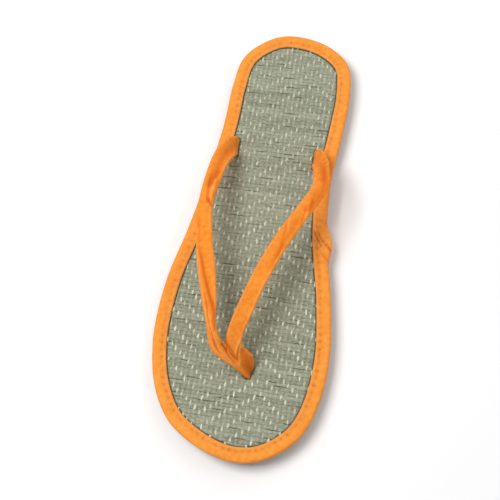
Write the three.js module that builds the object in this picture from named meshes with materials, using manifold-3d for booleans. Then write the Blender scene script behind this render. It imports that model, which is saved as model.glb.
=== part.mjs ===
// A woven flip-flop for the right foot, standing flat on the floor.
// Millimetres: +Y points to the toe, +X to the outer side, +Z up, and the floor is Z = 0.
import * as THREE from "three";
import { mergeVertices } from "three/addons/utils/BufferGeometryUtils.js";
import Module from "manifold-3d";

const wasm = await Module();
wasm.setup();

// Driving dimensions
const LENGTH = 260;
const BALL_WIDTH = 98;
const CLEARANCE = 0.3;
const OUTSOLE = { thickness: 5.5, inset: 1.2, rounding: 0.8 };
const TOE_SPRING = { height: 2.5, reach: 48 };
const FOOTBED_EDGE = 2.2;
const BINDING = { wall: 0.9, crown: 0.3, topWidth: 8, bottomWidth: 7, rounding: 0.9 };
const LAP = { share: 0.52, length: 30, swell: 1.6, thickness: 0.5 };
const STRAP = { thickness: 2.6, slitPlay: 0.5, buried: 3.1, steps: 44 };

// Half widths of the sole as shares of the ball width, at stations from heel tip to toe tip.
// The stations lie on a half circle of turns, so they crowd together at both ends.
const SOLE_STATIONS = [
  { inner: 0.056, outer: -0.056 },
  { inner: 0.26, outer: 0.097 },
  { inner: 0.418, outer: 0.229 },
  { inner: 0.452, outer: 0.271 },
  { inner: 0.432, outer: 0.29 },
  { inner: 0.396, outer: 0.34 },
  { inner: 0.408, outer: 0.402 },
  { inner: 0.466, outer: 0.482 },
  { inner: 0.497, outer: 0.503 },
  { inner: 0.472, outer: 0.455 },
  { inner: 0.389, outer: 0.335 },
  { inner: 0.237, outer: 0.13 },
  { inner: 0.066, outer: -0.066 },
];
const OUTLINE_POINTS = 120;
const SLOT_ARC_STEPS = 6;

// Each band's middle line from its slit to the foot of the toe post. x is measured from the sole's
// middle line, along from the heel tip and rise from the mat. yaw is where the band's width points,
// in degrees from the toe towards the outer side, and tilt how far that edge is raised.
const OUTER_BAND = [
  { x: 18.5, along: 77.5, rise: 0.6, yaw: 180, tilt: 0, width: 12 },
  { x: 20, along: 81, rise: 7, yaw: 165, tilt: 0, width: 11.6 },
  { x: 23.3, along: 92, rise: 14.5, yaw: 130, tilt: 0, width: 10.4 },
  { x: 25.6, along: 108, rise: 20, yaw: 100, tilt: 0, width: 9.4 },
  { x: 26.6, along: 126, rise: 23.5, yaw: 88, tilt: 0, width: 8.3 },
  { x: 24.1, along: 146, rise: 24.5, yaw: 80, tilt: 0, width: 9.4 },
  { x: 20.2, along: 164, rise: 23.5, yaw: 76, tilt: -12, width: 9.9 },
  { x: 16.5, along: 181, rise: 21.5, yaw: 70, tilt: -38, width: 9.7 },
  { x: 14, along: 193.5, rise: 18.8, yaw: 62, tilt: -58, width: 8.8 },
  { x: 9.8, along: 202.4, rise: 14.8, yaw: 48, tilt: -34, width: 8.4 },
  { x: 0.4, along: 206.8, rise: 8.8, yaw: 38, tilt: -4, width: 8.2 },
  { x: -5.1, along: 209.8, rise: 2.6, yaw: 20, tilt: 0, width: 8 },
  { x: -5.7, along: 210.4, rise: 0.4, yaw: 12, tilt: 0, width: 8 },
];
const INNER_BAND = [
  { x: -29, along: 82, rise: 0.6, yaw: 0, tilt: 0, width: 12 },
  { x: -31, along: 85, rise: 7, yaw: 15, tilt: 0, width: 11.6 },
  { x: -34, along: 94, rise: 14.5, yaw: 45, tilt: 0, width: 9.8 },
  { x: -34.8, along: 108, rise: 20, yaw: 85, tilt: 0, width: 9 },
  { x: -28.9, along: 122, rise: 23.5, yaw: 112, tilt: 0, width: 8.8 },
  { x: -18.6, along: 142, rise: 25, yaw: 116, tilt: 0, width: 9.2 },
  { x: -10, along: 162, rise: 24.5, yaw: 112, tilt: 4, width: 9.2 },
  { x: -3.4, along: 181, rise: 22, yaw: 105, tilt: 10, width: 9.2 },
  { x: 1.2, along: 196, rise: 18, yaw: 90, tilt: 15, width: 8.8 },
  { x: 0.4, along: 202.6, rise: 13.6, yaw: 68, tilt: 6, width: 9 },
  { x: -4.2, along: 206.6, rise: 8.8, yaw: 48, tilt: -6, width: 10.2 },
  { x: -6.9, along: 210.2, rise: 2.6, yaw: 22, tilt: 0, width: 8.8 },
  { x: -7.5, along: 211, rise: 0.4, yaw: 12, tilt: 0, width: 8 },
];

// Levels of the layers above the floor
const bindingBase = OUTSOLE.thickness + CLEARANCE;
const edgeBase = bindingBase + BINDING.wall + CLEARANCE;
const matTop = edgeBase + FOOTBED_EDGE;
const bindingTop = matTop + CLEARANCE + BINDING.wall;

const UP = new THREE.Vector3(0, 0, 1);
const MERGE_DISTANCE = 1e-3;
const middleOf = (low, high) => (low + high) / 2;

// The closed outline of the sole: heel tip, outer side, toe tip, inner side.
function soleOutline() {
  const last = SOLE_STATIONS.length - 1;
  const station = (index, half) => {
    const share = (1 - Math.cos((Math.PI * index) / last)) / 2;
    return new THREE.Vector3(half * BALL_WIDTH, (share - 0.5) * LENGTH, 0);
  };
  const outer = SOLE_STATIONS.map((row, index) => station(index, row.outer));
  const inner = SOLE_STATIONS.map((row, index) => station(index, -row.inner));
  const loop = [...outer, ...inner.slice(1, last).reverse()];
  const points = new THREE.CatmullRomCurve3(loop, true, "catmullrom").getPoints(OUTLINE_POINTS);
  points.pop();
  const box = new THREE.Box3().setFromPoints(points);
  const centre = box.getCenter(new THREE.Vector3());
  return points.map((point) => point.sub(centre));
}

const outline = soleOutline();
const inward = outline.map((_, index) => {
  const before = outline.at(index - 1);
  const after = outline[(index + 1) % outline.length];
  return UP.clone().cross(after.clone().sub(before)).normalize();
});

// The toe curls up a little over the last stretch of the sole.
function toeLift(y) {
  const share = Math.max(0, (y - (LENGTH / 2 - TOE_SPRING.reach)) / TOE_SPRING.reach);
  return TOE_SPRING.height * share * share;
}

// The outline moved inwards and raised, bent with the toe.
function ring(inset, z) {
  return outline.map((point, index) => {
    const moved = point.clone().addScaledVector(inward[index], inset);
    moved.z = z + toeLift(moved.y);
    return moved;
  });
}

// A closed mesh from points and triangles, turned to face out.
function closedGeometry(points, triangles) {
  const geometry = new THREE.BufferGeometry().setFromPoints(points);
  const signedVolume = triangles.reduce((sum, [a, b, c]) => {
    return sum + points[a].dot(points[b].clone().cross(points[c]));
  }, 0);
  const facing = signedVolume < 0 ? triangles.map(([a, b, c]) => [a, c, b]) : triangles;
  return geometry.setIndex(facing.flat());
}

// Walls between neighbouring rings of equal length, each ring a closed loop.
function wallTriangles(ringCount, ringSize, closed) {
  const triangles = [];
  for (let level = 0; level < (closed ? ringCount : ringCount - 1); level++) {
    const low = level * ringSize;
    const high = ((level + 1) % ringCount) * ringSize;
    for (let index = 0; index < ringSize; index++) {
      const next = (index + 1) % ringSize;
      triangles.push([low + index, low + next, high + next]);
      triangles.push([low + index, high + next, high + index]);
    }
  }
  return triangles;
}

// A lid over one ring: strips that join each point to its partner on the other side.
function lidTriangles(first, ringSize) {
  const triangles = [];
  for (let index = 0; index < ringSize / 2 - 1; index++) {
    const here = first + index;
    const over = first + ((ringSize - index) % ringSize);
    const overNext = first + ringSize - index - 1;
    if (index > 0) triangles.push([here, here + 1, over]);
    triangles.push([here + 1, overNext, over]);
  }
  triangles.push([first + ringSize / 2 - 1, first + ringSize / 2, first + ringSize / 2 + 1]);
  return triangles;
}

// A slab from rings stacked between two lids.
function stackedRings(rings) {
  const size = rings[0].length;
  const top = (rings.length - 1) * size;
  const lower = lidTriangles(0, size).map(([a, b, c]) => [a, c, b]);
  const walls = wallTriangles(rings.length, size, false);
  return closedGeometry(rings.flat(), [...walls, ...lower, ...lidTriangles(top, size)]);
}

// Solids for joining and cutting
function toSolid(geometry) {
  const bare = geometry.clone();
  bare.deleteAttribute("normal");
  bare.deleteAttribute("uv");
  const merged = mergeVertices(bare, MERGE_DISTANCE);
  const mesh = new wasm.Mesh({
    numProp: 3,
    vertProperties: new Float32Array(merged.attributes.position.array),
    triVerts: new Uint32Array(merged.index.array),
  });
  return new wasm.Manifold(mesh);
}

function toGeometry(solid) {
  const mesh = solid.getMesh();
  const geometry = new THREE.BufferGeometry();
  geometry.setAttribute("position", new THREE.BufferAttribute(mesh.vertProperties, 3));
  return geometry.setIndex(new THREE.BufferAttribute(mesh.triVerts, 1));
}

// Outsole: a foam sheet with softened edges, a little inside the binding.
function outsoleGeometry() {
  const { thickness, inset, rounding } = OUTSOLE;
  return stackedRings([
    ring(inset + rounding, 0),
    ring(inset, rounding),
    ring(inset, thickness - rounding),
    ring(inset + rounding, thickness),
  ]);
}

// A rounded slot through the footbed, for a band of this width and thickness.
function slotGeometry(row, thickness) {
  const long = row.width / 2 + STRAP.slitPlay;
  const short = thickness / 2 + STRAP.slitPlay;
  const shape = new THREE.Shape();
  shape.moveTo(-short, short - long);
  shape.absarc(0, short - long, short, Math.PI, 2 * Math.PI);
  shape.lineTo(short, long - short);
  shape.absarc(0, long - short, short, 0, Math.PI);
  const depth = 2 * matTop;
  const options = { depth, bevelEnabled: false, curveSegments: SLOT_ARC_STEPS };
  const slot = new THREE.ExtrudeGeometry(shape, options);
  slot.rotateZ(-THREE.MathUtils.degToRad(row.yaw));
  return slot.translate(row.x, row.along - LENGTH / 2, 0);
}

// Footbed: the mat on its board, rebated under the edge for the binding, cut for strap and post.
function footbedGeometry() {
  const edge = BINDING.wall + CLEARANCE;
  const core = BINDING.bottomWidth + CLEARANCE;
  const slab = stackedRings([
    ring(core, bindingBase),
    ring(core, edgeBase),
    ring(edge, edgeBase),
    ring(edge, matTop),
  ]);
  const outerFoot = OUTER_BAND.at(-1);
  const innerFoot = INNER_BAND.at(-1);
  const postThickness = STRAP.thickness + Math.abs(outerFoot.x - innerFoot.x);
  const post = {
    ...outerFoot,
    x: middleOf(outerFoot.x, innerFoot.x),
    along: middleOf(outerFoot.along, innerFoot.along),
    width: outerFoot.width + Math.abs(outerFoot.along - innerFoot.along),
  };
  const cuts = [
    slotGeometry(OUTER_BAND[0], STRAP.thickness),
    slotGeometry(INNER_BAND[0], STRAP.thickness),
    slotGeometry(post, postThickness),
  ];
  return toGeometry(cuts.reduce((solid, cut) => solid.subtract(toSolid(cut)), toSolid(slab)));
}

// Binding: a folded tape whose C section is carried round the outline, swollen where its ends lap.
function bindingGeometry() {
  const { wall, crown, topWidth, bottomWidth, rounding } = BINDING;
  const corner = rounding * (1 - Math.SQRT1_2);
  const section = [
    { inset: rounding, z: bindingBase },
    { inset: corner, z: bindingBase + corner },
    { inset: 0, z: bindingBase + rounding },
    { inset: 0, z: bindingTop - rounding },
    { inset: corner, z: bindingTop - corner },
    { inset: rounding, z: bindingTop },
    { inset: topWidth / 2, z: bindingTop + crown },
    { inset: topWidth - wall / 2, z: bindingTop },
    { inset: topWidth, z: bindingTop - wall / 2 },
    { inset: topWidth, z: bindingTop - wall },
    { inset: wall, z: bindingTop - wall },
    { inset: wall, z: bindingBase + wall },
    { inset: bottomWidth, z: bindingBase + wall },
    { inset: bottomWidth, z: bindingBase },
  ];
  const lapY = (LAP.share - 0.5) * LENGTH;
  const swelling = (point) => {
    const reach = Math.abs(point.y - lapY) / (LAP.length / 2);
    return point.x < 0 && reach < 1 ? (1 + Math.cos(Math.PI * reach)) / 2 : 0;
  };
  const rings = section.map(({ inset, z }) => {
    const outside = inset < wall ? LAP.swell : 0;
    const above = z > bindingTop - wall ? LAP.thickness : 0;
    return ring(inset, z).map((point, index) => {
      const swell = swelling(outline[index]);
      point.addScaledVector(inward[index], -outside * swell);
      point.z += above * swell;
      return point;
    });
  });
  return closedGeometry(rings.flat(), wallTriangles(rings.length, OUTLINE_POINTS, true));
}

// The soft section of a folded, padded band: flat in the middle and round at both edges.
const BAND_SECTION = [
  { across: 1, up: 0 },
  { across: 0.93, up: 0.62 },
  { across: 0.7, up: 0.92 },
  { across: 0, up: 1 },
  { across: -0.7, up: 0.92 },
  { across: -0.93, up: 0.62 },
  { across: -1, up: 0 },
  { across: -0.93, up: -0.62 },
  { across: -0.7, up: -0.92 },
  { across: 0, up: -1 },
  { across: 0.7, up: -0.92 },
  { across: 0.93, up: -0.62 },
];

// One band of the strap, swept along its middle line with both ends buried in the footbed.
function bandGeometry(rows) {
  const buried = (row) => ({ ...row, rise: -STRAP.buried });
  const all = [buried(rows[0]), ...rows, buried(rows.at(-1))];
  const places = all.map((row) => new THREE.Vector3(row.x, row.along - LENGTH / 2, matTop + row.rise));
  const settings = all.map((row) => new THREE.Vector3(row.yaw, row.tilt, row.width));
  const path = new THREE.CatmullRomCurve3(places, false, "catmullrom");
  const turns = new THREE.CatmullRomCurve3(settings, false, "catmullrom");
  const rings = [];
  for (let step = 0; step <= STRAP.steps; step++) {
    const share = step / STRAP.steps;
    const centre = path.getPoint(share);
    const forward = path.getTangent(share);
    const { x: yaw, y: tilt, z: width } = turns.getPoint(share);
    const heading = THREE.MathUtils.degToRad(yaw);
    const raised = THREE.MathUtils.degToRad(tilt);
    const across = new THREE.Vector3(
      Math.cos(raised) * Math.sin(heading),
      Math.cos(raised) * Math.cos(heading),
      Math.sin(raised),
    );
    across.addScaledVector(forward, -across.dot(forward)).normalize();
    const up = across.clone().cross(forward);
    rings.push(
      BAND_SECTION.map((corner) =>
        centre
          .clone()
          .addScaledVector(across, (corner.across * width) / 2)
          .addScaledVector(up, (corner.up * STRAP.thickness) / 2),
      ),
    );
  }
  return stackedRings(rings);
}

// Strap: both bands, sewn together in the V and down the toe post.
function strapGeometry() {
  return toGeometry(toSolid(bandGeometry(OUTER_BAND)).add(toSolid(bandGeometry(INNER_BAND))));
}

const blackFoam = new THREE.MeshStandardMaterial({ color: 0x1d1d1f, roughness: 0.85 });
const wovenStraw = new THREE.MeshStandardMaterial({ color: 0xa5a488, roughness: 0.9 });
const bindingCloth = new THREE.MeshStandardMaterial({ color: 0xf08a24, roughness: 0.85 });
const strapCloth = new THREE.MeshStandardMaterial({ color: 0xe87d1a, roughness: 0.85 });

function piece(name, geometry, material) {
  const mesh = new THREE.Mesh(geometry, material);
  mesh.name = name;
  return mesh;
}

const flipFlop = new THREE.Group();
flipFlop.add(piece("outsole", outsoleGeometry(), blackFoam));
flipFlop.add(piece("footbed", footbedGeometry(), wovenStraw));
flipFlop.add(piece("binding", bindingGeometry(), bindingCloth));
flipFlop.add(piece("strap", strapGeometry(), strapCloth));

export default flipFlop;
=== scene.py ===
# %% [markdown]
# # A woven flip-flop
#
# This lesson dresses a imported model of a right-foot flip-flop. The model gives four solids at their
# real size: a foam outsole, a footbed, a cloth binding round its edge and a V-shaped strap. They stay
# where they are. Straw, thread and cloth are built over them, in the same frame and in metres.

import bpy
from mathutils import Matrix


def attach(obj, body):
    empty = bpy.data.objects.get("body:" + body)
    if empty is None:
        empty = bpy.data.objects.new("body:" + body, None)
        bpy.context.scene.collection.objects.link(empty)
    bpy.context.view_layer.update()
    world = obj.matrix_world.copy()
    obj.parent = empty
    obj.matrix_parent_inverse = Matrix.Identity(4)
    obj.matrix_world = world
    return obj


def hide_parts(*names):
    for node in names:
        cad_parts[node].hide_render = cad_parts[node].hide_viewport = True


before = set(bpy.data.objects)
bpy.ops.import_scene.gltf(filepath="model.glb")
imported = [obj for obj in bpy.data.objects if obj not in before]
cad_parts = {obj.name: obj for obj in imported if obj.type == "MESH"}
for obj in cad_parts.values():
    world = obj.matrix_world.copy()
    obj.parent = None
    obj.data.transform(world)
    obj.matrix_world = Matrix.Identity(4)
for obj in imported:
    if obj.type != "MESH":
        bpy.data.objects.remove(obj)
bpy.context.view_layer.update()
print("nodes", sorted(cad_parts))

# %% [markdown]
# Everything below is written in millimetres, because that is how a shoemaker measures, and is turned
# into metres where a point is placed. One seeded source of chance keeps every run the same.

# %% Units and imports
import math
import random
from collections import namedtuple

import bmesh
import bpy
from mathutils import Matrix
from mathutils import Vector
from mathutils import noise
from mathutils.kdtree import KDTree

MM = 0.001
chance = random.Random(11)


def drift(*place):
    """Smooth chance, about -1 to 1, that changes slowly over a place given by three numbers."""
    return noise.noise(Vector(place))


# %% [markdown]
# ## Camera, floor and light
#
# The shoe is seen from above its toe, a little from the inner side, with the picture turned so that
# the heel is at the top. A long lens keeps the proportions calm. The floor is a plain pale sheet, and
# a soft lamp high on the outer side throws the strap's shadows on the mat beside each band. A weak wide
# one on the inner side, behind the heel, lights the ends of the bands that face it.

# %% Camera
AIM = Vector((1.86, 11.22, 10.0)) * MM
CAMERA_DISTANCE = 561.8 * MM
CAMERA_AZIMUTH = math.radians(201.99)
CAMERA_ELEVATION = math.radians(68.61)
CAMERA_ROLL = math.radians(-15.52)
CAMERA_LENS = 71.6
CAMERA_NEAR = 10 * MM

backward = Vector((
    math.sin(CAMERA_AZIMUTH) * math.cos(CAMERA_ELEVATION),
    -math.cos(CAMERA_AZIMUTH) * math.cos(CAMERA_ELEVATION),
    math.sin(CAMERA_ELEVATION),
))
level_right = (-backward).cross(Vector((0, 0, 1))).normalized()
level_up = level_right.cross(-backward)
camera_right = math.cos(CAMERA_ROLL) * level_right + math.sin(CAMERA_ROLL) * level_up
camera_up = camera_right.cross(-backward)
camera = bpy.data.objects.new("camera", bpy.data.cameras.new("camera"))
camera.data.lens = CAMERA_LENS
camera.data.clip_start = CAMERA_NEAR
camera_turn = Matrix((camera_right, camera_up, backward)).transposed().to_4x4()
camera.matrix_world = Matrix.Translation(AIM + backward * CAMERA_DISTANCE) @ camera_turn
bpy.context.collection.objects.link(camera)
bpy.context.scene.camera = camera
print("camera at", [round(value / MM) for value in camera.matrix_world.translation])

# %% Floor and light
FLOOR_HALF = 3.0
FLOOR_COLOUR = (0.93, 0.93, 0.93, 1)
FLOOR_ROUGHNESS = 0.9
Lamp = namedtuple("Lamp", "name direction size power")
LAMPS = (
    Lamp("soft lamp", Vector((0.43, 0.02, 1.0)).normalized(), 0.46, 5.8),
    Lamp("wide lamp", Vector((-0.7, -0.6, 0.7)).normalized(), 1.0, 2.7),
)
LAMP_DISTANCE = 0.9
SKY_STRENGTH = 0.41

floor_shape = bmesh.new()
bmesh.ops.create_grid(floor_shape, x_segments=1, y_segments=1, size=FLOOR_HALF)
floor_mesh = bpy.data.meshes.new("floor")
floor_shape.to_mesh(floor_mesh)
floor_shape.free()
floor = bpy.data.objects.new("floor", floor_mesh)
bpy.context.collection.objects.link(floor)
floor_paint = bpy.data.materials.new("pale floor")
floor_paint.use_nodes = True
floor_shader = floor_paint.node_tree.nodes["Principled BSDF"]
floor_shader.inputs["Base Color"].default_value = FLOOR_COLOUR
floor_shader.inputs["Roughness"].default_value = FLOOR_ROUGHNESS
floor.data.materials.append(floor_paint)

for lamp in LAMPS:
    made = bpy.data.objects.new(lamp.name, bpy.data.lights.new(lamp.name, "AREA"))
    made.data.energy = lamp.power
    made.data.size = lamp.size
    made.location = lamp.direction * LAMP_DISTANCE
    made.rotation_mode = "QUATERNION"
    made.rotation_quaternion = lamp.direction.to_track_quat("Z", "Y")
    bpy.context.collection.objects.link(made)
world = bpy.data.worlds.new("studio")
world.use_nodes = True
sky = world.node_tree.nodes["Background"]
sky.inputs["Color"].default_value = (1, 1, 1, 1)
sky.inputs["Strength"].default_value = SKY_STRENGTH
bpy.context.scene.world = world
bpy.context.scene.view_settings.view_transform = "Standard"
print([f"{lamp.name} {lamp.power} W" for lamp in LAMPS])

# %% [markdown]
# ## Writing shaders as sums
#
# A finish such as cloth needs a few dozen nodes, and wiring them one by one hides the idea. The small
# class below wraps an output socket, so that a plus or times sign adds a Math node. Any other node
# comes from one method, which takes its type, its settings and what goes into its sockets.

# %% A wire between shader nodes
class Wire:
    """An output socket of a material, or the start of one, that signs and nodes can be added to."""

    def __init__(self, tree, socket=None):
        self.tree = tree
        self.socket = socket

    def add(self, kind, settings, inputs, output=0):
        made = self.tree.nodes.new(kind)
        for name, value in settings.items():
            setattr(made, name, value)
        for name, value in inputs.items():
            self.feed(made.inputs[name], value)
        return Wire(self.tree, made.outputs[output])

    def feed(self, target, value):
        if isinstance(value, Wire):
            self.tree.links.new(value.socket, target)
        else:
            target.default_value = value

    def math(self, operation, first, second=0.0):
        return self.add("ShaderNodeMath", {"operation": operation}, {0: first, 1: second})

    def __add__(self, other):
        return self.math("ADD", self, other)

    def __sub__(self, other):
        return self.math("SUBTRACT", self, other)

    def __rsub__(self, other):
        return self.math("SUBTRACT", other, self)

    def __mul__(self, other):
        return self.math("MULTIPLY", self, other)

    __radd__ = __add__
    __rmul__ = __mul__


def mixed(share, first, second):
    """One colour going over into another."""
    inputs = {0: share, 6: first, 7: second}
    return share.add("ShaderNodeMix", {"data_type": "RGBA"}, inputs, 2)


def ramped(wire, low, high):
    """0 below low, 1 above high and smooth between."""
    settings = {"interpolation_type": "SMOOTHSTEP"}
    return wire.add("ShaderNodeMapRange", settings, {"Value": wire, 1: low, 2: high})


def speckle(place, stretch, detail=2.0):
    """Soft chance from 0 to 1 over a surface, with so many spots to the unit along each axis."""
    scaled = place.add("ShaderNodeVectorMath", {"operation": "MULTIPLY"}, {0: place, 1: stretch})
    inputs = {"Vector": scaled, "Scale": 1.0, "Detail": detail}
    return place.add("ShaderNodeTexNoise", {}, inputs, 0)


def slanted(place, angle):
    """A place turned about the upright axis, for patterns that run at an angle."""
    inputs = {"Vector": place, "Angle": angle}
    return place.add("ShaderNodeVectorRotate", {"rotation_type": "Z_AXIS"}, inputs)


def paint(red, green, blue):
    """A colour given as on a screen, 0 to 255, turned into the linear light that shaders use."""
    def linear(value):
        share = value / 255
        return share / 12.92 if share <= 0.04045 else ((share + 0.055) / 1.055) ** 2.4
    return (linear(red), linear(green), linear(blue), 1.0)


def finish_start(name):
    """A new material: the material, a loose wire in it and its surface shader."""
    material = bpy.data.materials.new(name)
    material.use_nodes = True
    return material, Wire(material.node_tree), material.node_tree.nodes["Principled BSDF"]


def raised(height, depth):
    """A surface normal that stands up where height is high."""
    return height.add("ShaderNodeBump", {}, {"Height": height, "Distance": depth, "Strength": 1.0})


def place_of(start, kind):
    """Where a point is: Object in metres, UV along the piece, or Normal for the way it faces."""
    return start.add("ShaderNodeTexCoord", {}, {}, kind)


def carried(start, name):
    """A number that the points of the mesh carry."""
    return start.add("ShaderNodeAttribute", {"attribute_name": name}, {}, "Fac")


def lay_on(start, shader, colour, roughness, normal):
    """Feeds a finish's colour, roughness and surface normal into its shader."""
    for name, value in (("Base Color", colour), ("Roughness", roughness), ("Normal", normal)):
        start.feed(shader.inputs[name], value)


print("orange in linear light", [round(value, 3) for value in paint(247, 155, 64)])

# %% [markdown]
# ## Straw, cotton, cloth and foam
#
# The straw is dried grass: each blade has its own tone, with fine fibres along it. Painted shade makes it
# darker down in the gaps, in the dark slits and where the hem presses it down. Painted light and shade
# over the threads below make it paler over each thread and darker between. The mesh carries two
# numbers for this, the blade's tone with that painted light and shade in it, and how near the crest a
# point is, and the shader reads them as attributes.

# %% Straw finish
STRAW_DARK = paint(113, 115, 93)
STRAW_PALE = paint(172, 176, 153)
STRAW_GAP_SHADE = paint(72, 68, 48)

straw_finish, start, shader = finish_start("dried straw")
place = place_of(start, "Object")
tone = carried(start, "tone")
crest = carried(start, "crest")
fibres = speckle(place, (90.0, 5200.0, 900.0))
stains = speckle(place, (160.0, 420.0, 100.0))
mottle = speckle(place, (800.0, 900.0, 300.0), 3.0)
paleness = tone * 0.36 + fibres * 0.4 + stains * 0.3 + mottle * 1.7 - 0.95
grass = mixed(paleness, STRAW_DARK, STRAW_PALE)
# Painted shade: low on the blade, towards the gaps, the dark slits and the hem, the colour goes over into
# a dark gap colour.
colour = mixed(ramped(crest, 0.05, 0.58), STRAW_GAP_SHADE, grass)
lay_on(start, shader, colour, 0.78 - fibres * 0.25, raised(fibres * 0.7 + mottle * 0.8, 0.16 * MM))
print("straw finish", len(straw_finish.node_tree.nodes), "nodes")

# %% [markdown]
# The threads that tie the straw together are undyed cotton. They are twisted, which shows close up as
# slanting lines, so a wave runs across each float at an angle.

# %% Cotton finish
COTTON_PALE = paint(230, 231, 210)
COTTON_SHADE = paint(168, 168, 145)
TWIST_ANGLE = 0.6

cotton_finish, start, shader = finish_start("cotton thread")
place = place_of(start, "Object")
tone = carried(start, "tone")
slant = slanted(place, TWIST_ANGLE)
twist = start.add("ShaderNodeTexWave", {}, {"Vector": slant, "Scale": 900.0, "Distortion": 1.5}, 1)
colour = mixed(tone * 0.75 + twist * 0.25, COTTON_SHADE, COTTON_PALE)
lay_on(start, shader, colour, 0.95 - twist * 0.1, raised(twist, 0.06 * MM))
print("cotton finish", len(cotton_finish.node_tree.nodes), "nodes")

# %% [markdown]
# Binding and strap are cut from the same orange canvas. A plain weave is two sets of threads that
# take turns on top: the product of two sine waves is high where one set is on top and low where the
# other is. It runs along the piece's own UV map, so the threads follow every bend. In creases and
# needle holes the colour is painted deeper, as painted shade, and on edges and ridges it is painted
# paler, as painted highlight; the hem is painted paler too. The mesh carries two numbers that say
# where: fold for the painted shade, and a second one for the paler hem and the painted highlight.

# %% Cloth finish
# A painted shade colour for creases and holes, and a painted highlight colour for ridges and edges.
CREASE_SHADE_ORANGE = paint(203, 93, 6)
PALE_HIGHLIGHT_ORANGE = paint(250, 184, 118)


def canvas_finish(name, pale, deep, threads_around, threads_along):
    """Orange canvas with this many threads round and along the piece."""
    material, start, shader = finish_start(name)
    chart = place_of(start, "UV")
    place = place_of(start, "Object")
    fold = carried(start, "fold")
    paleness_and_highlight = carried(start, "paleness_and_highlight")
    around = start.add("ShaderNodeSeparateXYZ", {}, {0: chart}, 0) * (threads_around * math.pi)
    along = start.add("ShaderNodeSeparateXYZ", {}, {0: chart}, 1) * (threads_along * math.pi)
    weave = start.math("SINE", around) * start.math("SINE", along)
    slubs = speckle(chart, (threads_around * 0.12, threads_along, 1.0), 1.0)
    slubs = slubs + speckle(chart, (threads_around, threads_along * 0.12, 1.0), 1.0)
    fading = speckle(place, (60.0, 60.0, 60.0), 3.0)
    mottle = speckle(place, (420.0, 420.0, 420.0), 3.0)
    fuzz = speckle(place, (2600.0, 2600.0, 2600.0), 2.0)
    shade = slubs * 0.34 + fading * 0.5 + mottle * 1.5 + weave * 0.1 - 0.85
    # Painted highlight on ridges and edges, with a paler hem, then painted shade in creases, troughs and
    # needle holes.
    cloth = mixed(paleness_and_highlight * 0.6, mixed(shade, deep, pale), PALE_HIGHLIGHT_ORANGE)
    colour = mixed(fold * 0.85, cloth, CREASE_SHADE_ORANGE)
    bumps = weave * 0.5 + slubs * 0.4 + fuzz * 0.35
    lay_on(start, shader, colour, 0.82 + fuzz * 0.15, raised(bumps, 0.14 * MM))
    shader.inputs["Sheen Weight"].default_value = 0.04
    shader.inputs["Sheen Roughness"].default_value = 0.45
    shader.inputs["Specular IOR Level"].default_value = 0.25
    print(name, len(material.node_tree.nodes), "nodes")
    return material


print("orange in a crease", [round(value, 3) for value in CREASE_SHADE_ORANGE])

# %% [markdown]
# The stitches are spun polyester, a little smoother and deeper in colour than the cloth. The outsole is
# black foam rubber with small open pores, and a fine tread of slanting ribs on its underside. The ribs
# are kept to faces that look down, so that they also follow the toe where it curls up.

# %% Thread, foam and board finishes
THREAD_DEEP = paint(226, 120, 34)
THREAD_PALE = paint(248, 152, 62)
FOAM_BLACK = paint(18, 18, 19)
FOAM_DUSTY = paint(44, 43, 43)
BOARD_DARK = paint(62, 56, 38)
BOARD_PALE = paint(122, 114, 84)
RIB_ANGLE = 0.7


def thread_finish():
    """Spun thread with its fine twist."""
    material, start, shader = finish_start("sewing thread")
    place = place_of(start, "Object")
    twist = start.add("ShaderNodeTexWave", {}, {"Vector": place, "Scale": 1400.0, "Distortion": 2.0}, 1)
    colour = mixed(twist, THREAD_DEEP, THREAD_PALE)
    lay_on(start, shader, colour, 0.7 - twist * 0.15, raised(twist, 0.04 * MM))
    return material


def foam_finish():
    """Foam with pores, a little dust and ribs where it faces the floor."""
    material, start, shader = finish_start("black foam rubber")
    place = place_of(start, "Object")
    pores = start.add("ShaderNodeTexVoronoi", {}, {"Vector": place, "Scale": 1100.0}, 0)
    dust = speckle(place, (70.0, 70.0, 70.0), 4.0)
    facing = place_of(start, "Normal")
    upward = start.add("ShaderNodeSeparateXYZ", {}, {0: facing}, 2)
    underside = 1.0 - ramped(upward, -0.98, -0.9)
    ribs = start.add("ShaderNodeTexWave", {}, {"Vector": slanted(place, RIB_ANGLE), "Scale": 130.0}, 1)
    colour = mixed(dust, FOAM_BLACK, FOAM_DUSTY)
    lay_on(start, shader, colour, 0.75 + dust * 0.2, raised(pores * 0.25 + underside * ribs, 0.4 * MM))
    return material


def board_finish():
    """Brown board with fibres, seen in the gaps of the mat and in the slits."""
    material, start, shader = finish_start("insole board")
    place = place_of(start, "Object")
    fibres = speckle(place, (260.0, 2400.0, 800.0))
    colour = mixed(fibres, BOARD_DARK, BOARD_PALE)
    lay_on(start, shader, colour, 0.8 + fibres * 0.15, raised(fibres, 0.2 * MM))
    return material


sewing_thread = thread_finish()
for node, finish in (("outsole", foam_finish()), ("footbed", board_finish())):
    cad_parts[node].data.materials.clear()
    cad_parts[node].data.materials.append(finish)
print("outsole and footbed painted")

# %% [markdown]
# ## The sole's outline
#
# Mat and binding both follow the edge of the sole, so the outline is read from the outsole instead of
# being drawn again. The outsole's side has one ring of points just under its upper rounding. A copy of
# the mesh is merged, the ring is walked from the heel, and a smooth curve goes through its points. The
# toe curls up a little, and every height above the floor is raised with it.

# %% Levels and toe spring
SOLE_LENGTH = 260.0
OUTSOLE_INSET = 1.2
OUTSOLE_SIDE_TOP = 4.7
TOE_RISE = 2.5
TOE_REACH = 48.0
MAT_TOP = 9.2
BINDING_TOP = 10.4


def toe_lift(y):
    """How far the sole is raised here by its toe spring; y and the lift are in millimetres."""
    share = max(0.0, (y - (SOLE_LENGTH / 2 - TOE_REACH)) / TOE_REACH)
    return TOE_RISE * share * share


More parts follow.
